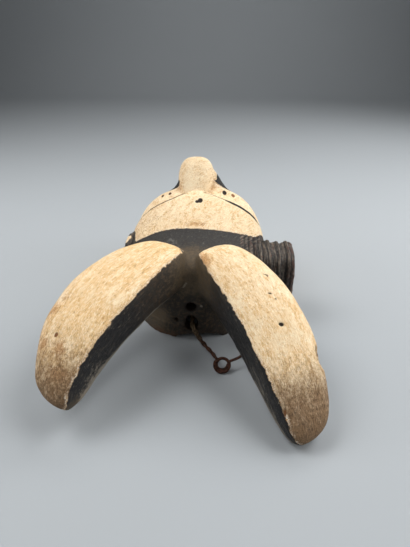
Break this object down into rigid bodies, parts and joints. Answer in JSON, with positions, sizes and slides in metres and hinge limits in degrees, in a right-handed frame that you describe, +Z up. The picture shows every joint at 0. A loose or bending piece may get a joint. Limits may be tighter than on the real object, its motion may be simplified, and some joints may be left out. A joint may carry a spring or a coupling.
{
  "type": "carved mask",
  "caption": "Carved wooden face mask with two curved horns, ribbed hair lobes, a hollow back and a bent iron hanging wire, lying on its back.",
  "frame": {"origin": "middle of the underside: the centre of the whole object's box, on the plane that the open back's rim rests on", "axes": "+Z up out of the face, +Y from the horns toward the chin, +X to the viewer's right when looking from the horns toward the chin"},
  "size_m": [0.218, 0.3258, 0.1412],
  "materials": {
    "painted_wood": "dry chalky cream paint over wood, worn and pitted, with blackened hair, horn sides and crown",
    "iron_wire": "rusted, rough"
  },
  "bodies": {
    "root": {"mask": "painted_wood", "hanging_wire": "iron_wire"}
  },
  "joints": []
}
